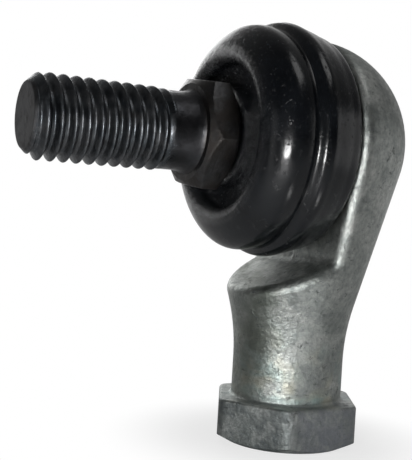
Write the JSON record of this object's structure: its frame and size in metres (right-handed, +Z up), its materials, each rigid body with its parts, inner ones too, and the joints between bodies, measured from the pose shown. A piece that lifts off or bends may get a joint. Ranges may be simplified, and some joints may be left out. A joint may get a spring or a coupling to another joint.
{
  "type": "angular ball joint rod end",
  "caption": "Right-angle ball joint: a threaded stud swivels in a die-cast head with a rubber dust boot, above a tapped shank with a wrench hexagon.",
  "frame": {"origin": "centre of the shank's end face, on the axis of the tapped hole", "axes": "+Z up the shank to the head; the stud points along -X; +Y completes the right-handed frame"},
  "size_m": [0.0404, 0.0238, 0.043],
  "materials": {
    "zinc_casting": "die-cast zinc alloy, satin with a faint chromate tint",
    "ball_steel": "polished, greased",
    "stud_steel": "dark, oiled",
    "boot_rubber": "semi-gloss black"
  },
  "bodies": {
    "housing": {"housing": "zinc_casting"},
    "ball": {"ball": "ball_steel"},
    "boot": {"dust_boot": "boot_rubber"},
    "stud": {"ball_stud": "stud_steel"}
  },
  "joints": [
    {"name": "stud_direction", "type": "hinge", "parent": "housing", "child": "ball", "pos_m": [0, 0, 0.031], "axis": [-1, 0, 0], "continuous": true},
    {"name": "stud_tilt", "type": "hinge", "parent": "ball", "child": "boot", "pos_m": [0, 0, 0.031], "axis": [0, 1, 0], "range_deg": [-25, 25], "deforming": ["dust_boot"]},
    {"name": "stud_spin", "type": "hinge", "parent": "boot", "child": "stud", "pos_m": [0, 0, 0.031], "axis": [-1, 0, 0], "continuous": true}
  ]
}
